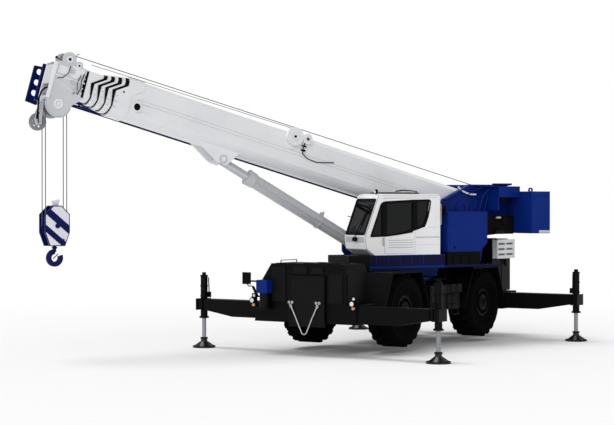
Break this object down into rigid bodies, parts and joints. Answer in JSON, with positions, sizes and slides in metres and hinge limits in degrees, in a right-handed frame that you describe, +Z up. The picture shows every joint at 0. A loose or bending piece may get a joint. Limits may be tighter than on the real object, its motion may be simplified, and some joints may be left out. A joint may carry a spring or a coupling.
{
  "type": "rough-terrain mobile crane",
  "caption": "Two-axle rough-terrain mobile crane on outriggers with a slewed upper, a telescopic boom, a stowed lattice jib and a hook block.",
  "frame": {"origin": "bottom centre of the whole crane as it stands, on the ground under its outrigger floats", "axes": "+X to the carrier's front, +Y to its left, +Z up"},
  "size_m": [13.8148, 9.435, 7.4043],
  "materials": {
    "white_paint": "gloss",
    "blue_paint": "gloss",
    "navy_paint": "gloss",
    "black_paint": "satin",
    "grey_paint": "satin",
    "tyre": "matte",
    "rim_paint": "satin",
    "chrome": "polished",
    "glass": "clear",
    "seat": "woven",
    "steel": "worn",
    "rope": "oiled",
    "hook_paint": "gloss"
  },
  "bodies": {
    "carrier": {"chassis": "black_paint", "outrigger_boxes": "black_paint", "slewing_ring": "black_paint", "front_housing": "black_paint", "front_panel": "black_paint", "engine_cover": "black_paint", "engine": "black_paint", "louvred_box": "grey_paint", "mudguards": "black_paint", "side_lockers": "black_paint", "axles": "black_paint", "lamps_and_mirror": "black_paint"},
    "upper": {"turntable": "navy_paint", "decks": "navy_paint", "cab_shell": "white_paint", "cab_door": "white_paint", "cab_glass": "glass", "cab_seat_and_console": "seat", "cabinets": "blue_paint", "winches": "steel", "counterweight": "blue_paint"},
    "boom": {"boom_base": "white_paint", "stowed_jib": "navy_paint", "jib_brackets": "grey_paint", "cable_reels": "black_paint"},
    "section_2": {"boom_section_2": "white_paint"},
    "section_3": {"boom_section_3": "white_paint"},
    "section_4": {"boom_section_4": "white_paint"},
    "section_5": {"boom_section_5": "white_paint", "boom_head": "grey_paint", "head_sheaves": "steel"},
    "falls": {"hoist_falls": "rope"},
    "hook_block": {"hook_block": "hook_paint", "block_sheaves": "steel"},
    "hook": {"hook": "black_paint"},
    "lift_rod": {"lift_cylinder_rod": "chrome"},
    "lift_barrel": {"lift_cylinder_barrel": "black_paint"},
    "beam_fr": {"outrigger_beam_fr": "black_paint"},
    "jack_fr": {"outrigger_jack_fr": "black_paint"},
    "beam_fl": {"outrigger_beam_fl": "black_paint"},
    "jack_fl": {"outrigger_jack_fl": "black_paint"},
    "beam_rr": {"outrigger_beam_rr": "black_paint"},
    "jack_rr": {"outrigger_jack_rr": "black_paint"},
    "beam_rl": {"outrigger_beam_rl": "black_paint"},
    "jack_rl": {"outrigger_jack_rl": "black_paint"},
    "knuckle_front_left": {"knuckle_front_left": "black_paint"},
    "wheel_front_left": {"tyre_front_left": "tyre", "rim_front_left": "rim_paint"},
    "knuckle_front_right": {"knuckle_front_right": "black_paint"},
    "wheel_front_right": {"tyre_front_right": "tyre", "rim_front_right": "rim_paint"},
    "knuckle_rear_left": {"knuckle_rear_left": "black_paint"},
    "wheel_rear_left": {"tyre_rear_left": "tyre", "rim_rear_left": "rim_paint"},
    "knuckle_rear_right": {"knuckle_rear_right": "black_paint"},
    "wheel_rear_right": {"tyre_rear_right": "tyre", "rim_rear_right": "rim_paint"}
  },
  "joints": [
    {"name": "slew", "type": "hinge", "parent": "carrier", "child": "upper", "pos_m": [-2.40737, 0.76749, 0], "axis": [0, 0, 1], "continuous": true},
    {"name": "boom_luff", "type": "hinge", "parent": "upper", "child": "boom", "pos_m": [-4.07752, 1.59293, 3.652], "axis": [-0.4431, -0.8965, 0], "range_deg": [-16.7, 64.8]},
    {"name": "telescope_2", "type": "slide", "parent": "boom", "child": "section_2", "axis": [0.8651, -0.4276, 0.2622], "range_m": [0, 8.75]},
    {"name": "telescope_3", "type": "slide", "parent": "section_2", "child": "section_3", "axis": [0.8651, -0.4276, 0.2622], "range_m": [0, 8.75]},
    {"name": "telescope_4", "type": "slide", "parent": "section_3", "child": "section_4", "axis": [0.8651, -0.4276, 0.2622], "range_m": [0, 8.75]},
    {"name": "telescope_5", "type": "slide", "parent": "section_4", "child": "section_5", "axis": [0.8651, -0.4276, 0.2622], "range_m": [0, 8.75]},
    {"name": "falls_hang", "type": "hinge", "parent": "section_5", "child": "falls", "pos_m": [6.31993, -3.54581, 6.16063], "axis": [-0.4431, -0.8965, 0], "range_deg": [-65, 16.9]},
    {"name": "hoist", "type": "slide", "parent": "falls", "child": "hook_block", "axis": [0, 0, -1], "range_m": [-1.1, 2.2], "deforming": ["hoist_falls"]},
    {"name": "hook_swivel", "type": "hinge", "parent": "hook_block", "child": "hook", "pos_m": [6.31993, -3.54581, 2.76], "axis": [0, 0, 1], "continuous": true},
    {"name": "lift_rod_eye", "type": "hinge", "parent": "boom", "child": "lift_rod", "pos_m": [2.36194, -1.58965, 4.898], "axis": [-0.4431, -0.8965, 0], "range_deg": [-2.56, 9.77]},
    {"name": "lift_barrel_slide", "type": "slide", "parent": "lift_rod", "child": "lift_barrel", "axis": [-0.7886, 0.3897, -0.4757], "range_m": [-0.7191, 2.7759]},
    {"name": "beam_fr_out", "type": "slide", "parent": "carrier", "child": "beam_fr", "axis": [0, -1, 0], "range_m": [-2.05, 0]},
    {"name": "jack_fr_down", "type": "slide", "parent": "beam_fr", "child": "jack_fr", "axis": [0, 0, -1], "range_m": [-0.48, 0]},
    {"name": "beam_fl_out", "type": "slide", "parent": "carrier", "child": "beam_fl", "axis": [0, 1, 0], "range_m": [-2.05, 0]},
    {"name": "jack_fl_down", "type": "slide", "parent": "beam_fl", "child": "jack_fl", "axis": [0, 0, -1], "range_m": [-0.48, 0]},
    {"name": "beam_rr_out", "type": "slide", "parent": "carrier", "child": "beam_rr", "axis": [0, -1, 0], "range_m": [-2.05, 0]},
    {"name": "jack_rr_down", "type": "slide", "parent": "beam_rr", "child": "jack_rr", "axis": [0, 0, -1], "range_m": [-0.48, 0]},
    {"name": "beam_rl_out", "type": "slide", "parent": "carrier", "child": "beam_rl", "axis": [0, 1, 0], "range_m": [-2.05, 0]},
    {"name": "jack_rl_down", "type": "slide", "parent": "beam_rl", "child": "jack_rl", "axis": [0, 0, -1], "range_m": [-0.48, 0]},
    {"name": "steer_front_left", "type": "hinge", "parent": "carrier", "child": "knuckle_front_left", "pos_m": [-0.23537, 1.96949, 1.077], "axis": [0, 0, 1], "range_deg": [-26, 26]},
    {"name": "wheel_front_left_spin", "type": "hinge", "parent": "knuckle_front_left", "child": "wheel_front_left", "pos_m": [-0.23537, 2.04949, 1.077], "axis": [0, 1, 0], "continuous": true},
    {"name": "steer_front_right", "type": "hinge", "parent": "carrier", "child": "knuckle_front_right", "pos_m": [-0.23537, -0.43451, 1.077], "axis": [0, 0, 1], "range_deg": [-26, 26]},
    {"name": "wheel_front_right_spin", "type": "hinge", "parent": "knuckle_front_right", "child": "wheel_front_right", "pos_m": [-0.23537, -0.51451, 1.077], "axis": [0, 1, 0], "continuous": true},
    {"name": "steer_rear_left", "type": "hinge", "parent": "carrier", "child": "knuckle_rear_left", "pos_m": [-4.47137, 1.96949, 1.077], "axis": [0, 0, 1], "range_deg": [-26, 26]},
    {"name": "wheel_rear_left_spin", "type": "hinge", "parent": "knuckle_rear_left", "child": "wheel_rear_left", "pos_m": [-4.47137, 2.04949, 1.077], "axis": [0, 1, 0], "continuous": true},
    {"name": "steer_rear_right", "type": "hinge", "parent": "carrier", "child": "knuckle_rear_right", "pos_m": [-4.47137, -0.43451, 1.077], "axis": [0, 0, 1], "range_deg": [-26, 26]},
    {"name": "wheel_rear_right_spin", "type": "hinge", "parent": "knuckle_rear_right", "child": "wheel_rear_right", "pos_m": [-4.47137, -0.51451, 1.077], "axis": [0, 1, 0], "continuous": true}
  ],
  "couplings": [
    {"joint": "telescope_3", "follows": "telescope_2", "ratio": 1},
    {"joint": "telescope_4", "follows": "telescope_2", "ratio": 1},
    {"joint": "telescope_5", "follows": "telescope_2", "ratio": 1},
    {"joint": "falls_hang", "follows": "boom_luff", "ratio": -1},
    {"joint": "lift_rod_eye", "follows": "boom_luff", "ratio": 0.15},
    {"joint": "lift_barrel_slide", "follows": "boom_luff", "m_per_rad": 2.45},
    {"joint": "steer_front_right", "follows": "steer_front_left", "ratio": 1},
    {"joint": "steer_rear_right", "follows": "steer_rear_left", "ratio": 1}
  ]
}
